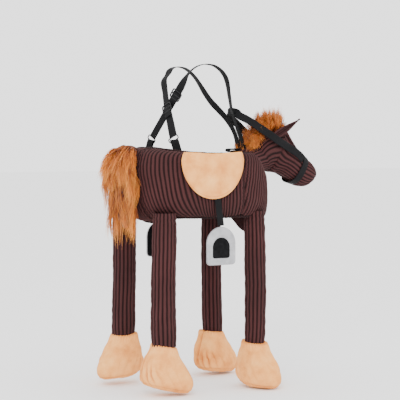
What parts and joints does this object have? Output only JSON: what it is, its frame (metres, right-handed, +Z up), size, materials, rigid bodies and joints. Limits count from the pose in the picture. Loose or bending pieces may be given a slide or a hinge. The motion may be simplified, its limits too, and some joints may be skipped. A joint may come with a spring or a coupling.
{
  "type": "ride-on horse costume",
  "caption": "Step-in corduroy horse costume worn at the waist on crossed shoulder straps, with a stuffed head, mane, tail, saddle flaps, stirrups and dangling stuffed legs with plush hooves.",
  "frame": {"origin": "between the two shoulder crowns of the straps, on top of the wearer's shoulders, which hold the costume up", "axes": "+Z up, +X to the horse's nose, +Y to the horse's left side"},
  "size_m": [0.7288, 0.4165, 0.9569],
  "materials": {
    "corduroy": "matte",
    "lining": "matte",
    "wadding": "matte",
    "plush": "matte",
    "fur": "matte",
    "webbing": "matte",
    "buckle_plastic": "satin",
    "felt": "matte",
    "silver_fabric": "satin",
    "eye_plastic": "gloss"
  },
  "bodies": {
    "horse_body": {"rump_panel": "corduroy", "flank_right": "corduroy", "flank_left": "corduroy", "chest_panel": "corduroy", "body_lining": "lining", "body_filling": "wadding", "waist_binding": "corduroy", "belly_binding": "corduroy", "rear_tab_right": "webbing", "rear_tab_left": "webbing", "strap_ring_right": "buckle_plastic", "strap_ring_left": "buckle_plastic", "shoulder_strap_right": "webbing", "shoulder_strap_left": "webbing", "front_tab": "webbing", "withers_handle": "webbing"},
    "neck_and_head": {"neck_cover": "corduroy", "neck_filling": "wadding", "mane": "fur", "head_cover": "corduroy", "head_filling": "wadding", "forelock": "fur", "eye_right": "eye_plastic", "eye_left": "eye_plastic", "noseband": "webbing", "reins": "webbing"},
    "ear_right": {"ear_right": "corduroy"},
    "ear_left": {"ear_left": "corduroy"},
    "leg_front_right": {"leg_front_right": "corduroy", "leg_filling_front_right": "wadding"},
    "hoof_front_right": {"hoof_front_right": "plush", "hoof_filling_front_right": "wadding"},
    "leg_front_left": {"leg_front_left": "corduroy", "leg_filling_front_left": "wadding"},
    "hoof_front_left": {"hoof_front_left": "plush", "hoof_filling_front_left": "wadding"},
    "leg_hind_right": {"leg_hind_right": "corduroy", "leg_filling_hind_right": "wadding"},
    "hoof_hind_right": {"hoof_hind_right": "plush", "hoof_filling_hind_right": "wadding"},
    "leg_hind_left": {"leg_hind_left": "corduroy", "leg_filling_hind_left": "wadding"},
    "hoof_hind_left": {"hoof_hind_left": "plush", "hoof_filling_hind_left": "wadding"},
    "tail": {"tail_dock": "corduroy", "tail_hair": "fur"},
    "saddle_flap_right": {"saddle_flap_right": "plush"},
    "stirrup_leather_right": {"stirrup_strap_right": "webbing"},
    "stirrup_right": {"stirrup_plate_right": "felt", "stirrup_rim_right": "silver_fabric"},
    "saddle_flap_left": {"saddle_flap_left": "plush"},
    "stirrup_leather_left": {"stirrup_strap_left": "webbing"},
    "stirrup_left": {"stirrup_plate_left": "felt", "stirrup_rim_left": "silver_fabric"},
    "slider_right": {"strap_slider_right": "buckle_plastic"},
    "slider_left": {"strap_slider_left": "buckle_plastic"}
  },
  "joints": [
    {"name": "neck_nod", "type": "hinge", "parent": "horse_body", "child": "neck_and_head", "pos_m": [0.217, 0, -0.281], "axis": [0, 1, 0], "range_deg": [-9, 9], "stiffness_Nm_per_rad": 14, "deforming": ["reins"]},
    {"name": "ear_flex_right", "type": "hinge", "parent": "neck_and_head", "child": "ear_right", "pos_m": [0.303, -0.04, -0.189], "axis": [0, 1, 0], "range_deg": [-12, 20], "stiffness_Nm_per_rad": 0.05},
    {"name": "ear_flex_left", "type": "hinge", "parent": "neck_and_head", "child": "ear_left", "pos_m": [0.345, 0.036, -0.209], "axis": [0, 1, 0], "range_deg": [-20, 4], "stiffness_Nm_per_rad": 0.05},
    {"name": "hip_swing_front_right", "type": "hinge", "parent": "horse_body", "child": "leg_front_right", "pos_m": [0.143, -0.127, -0.478], "axis": [0, 1, 0], "range_deg": [-28, 12]},
    {"name": "hoof_flex_front_right", "type": "hinge", "parent": "leg_front_right", "child": "hoof_front_right", "pos_m": [0.143, -0.127, -0.822], "axis": [0, 1, 0], "range_deg": [-6, 6], "stiffness_Nm_per_rad": 1.5},
    {"name": "hip_swing_front_left", "type": "hinge", "parent": "horse_body", "child": "leg_front_left", "pos_m": [0.143, 0.127, -0.478], "axis": [0, 1, 0], "range_deg": [-28, 12]},
    {"name": "hoof_flex_front_left", "type": "hinge", "parent": "leg_front_left", "child": "hoof_front_left", "pos_m": [0.143, 0.127, -0.819], "axis": [0, 1, 0], "range_deg": [-6, 6], "stiffness_Nm_per_rad": 1.5},
    {"name": "hip_swing_hind_right", "type": "hinge", "parent": "horse_body", "child": "leg_hind_right", "pos_m": [-0.165, -0.127, -0.4835], "axis": [0, 1, 0], "range_deg": [-12, 28]},
    {"name": "hoof_flex_hind_right", "type": "hinge", "parent": "leg_hind_right", "child": "hoof_hind_right", "pos_m": [-0.165, -0.127, -0.812], "axis": [0, 1, 0], "range_deg": [-6, 6], "stiffness_Nm_per_rad": 1.5},
    {"name": "hip_swing_hind_left", "type": "hinge", "parent": "horse_body", "child": "leg_hind_left", "pos_m": [-0.165, 0.127, -0.4835], "axis": [0, 1, 0], "range_deg": [-12, 28]},
    {"name": "hoof_flex_hind_left", "type": "hinge", "parent": "leg_hind_left", "child": "hoof_hind_left", "pos_m": [-0.165, 0.127, -0.806], "axis": [0, 1, 0], "range_deg": [-6, 6], "stiffness_Nm_per_rad": 1.5},
    {"name": "tail_swing", "type": "hinge", "parent": "horse_body", "child": "tail", "pos_m": [-0.2215, 0, -0.256], "axis": [0, 1, 0], "range_deg": [-3, 40]},
    {"name": "flap_lift_right", "type": "hinge", "parent": "horse_body", "child": "saddle_flap_right", "pos_m": [-0.019, -0.16, -0.269], "axis": [-1, 0, 0], "range_deg": [0, 80]},
    {"name": "stirrup_swing_right", "type": "hinge", "parent": "horse_body", "child": "stirrup_leather_right", "pos_m": [-0.024, -0.1844, -0.355], "axis": [0, 1, 0], "range_deg": [-25, 25]},
    {"name": "stirrup_tilt_right", "type": "hinge", "parent": "stirrup_leather_right", "child": "stirrup_right", "pos_m": [-0.009, -0.1844, -0.4716], "axis": [-1, 0, 0], "range_deg": [0, 50]},
    {"name": "flap_lift_left", "type": "hinge", "parent": "horse_body", "child": "saddle_flap_left", "pos_m": [-0.019, 0.16, -0.269], "axis": [1, 0, 0], "range_deg": [0, 80]},
    {"name": "stirrup_swing_left", "type": "hinge", "parent": "horse_body", "child": "stirrup_leather_left", "pos_m": [-0.024, 0.1844, -0.355], "axis": [0, 1, 0], "range_deg": [-25, 25]},
    {"name": "stirrup_tilt_left", "type": "hinge", "parent": "stirrup_leather_left", "child": "stirrup_left", "pos_m": [-0.009, 0.1844, -0.4716], "axis": [1, 0, 0], "range_deg": [0, 50]},
    {"name": "strap_adjust_right", "type": "slide", "parent": "horse_body", "child": "slider_right", "axis": [0.2152, -0.5585, 0.8011], "range_m": [-0.015, 0.015]},
    {"name": "strap_adjust_left", "type": "slide", "parent": "horse_body", "child": "slider_left", "axis": [0.1524, 0.5652, 0.8107], "range_m": [-0.015, 0.015]}
  ]
}
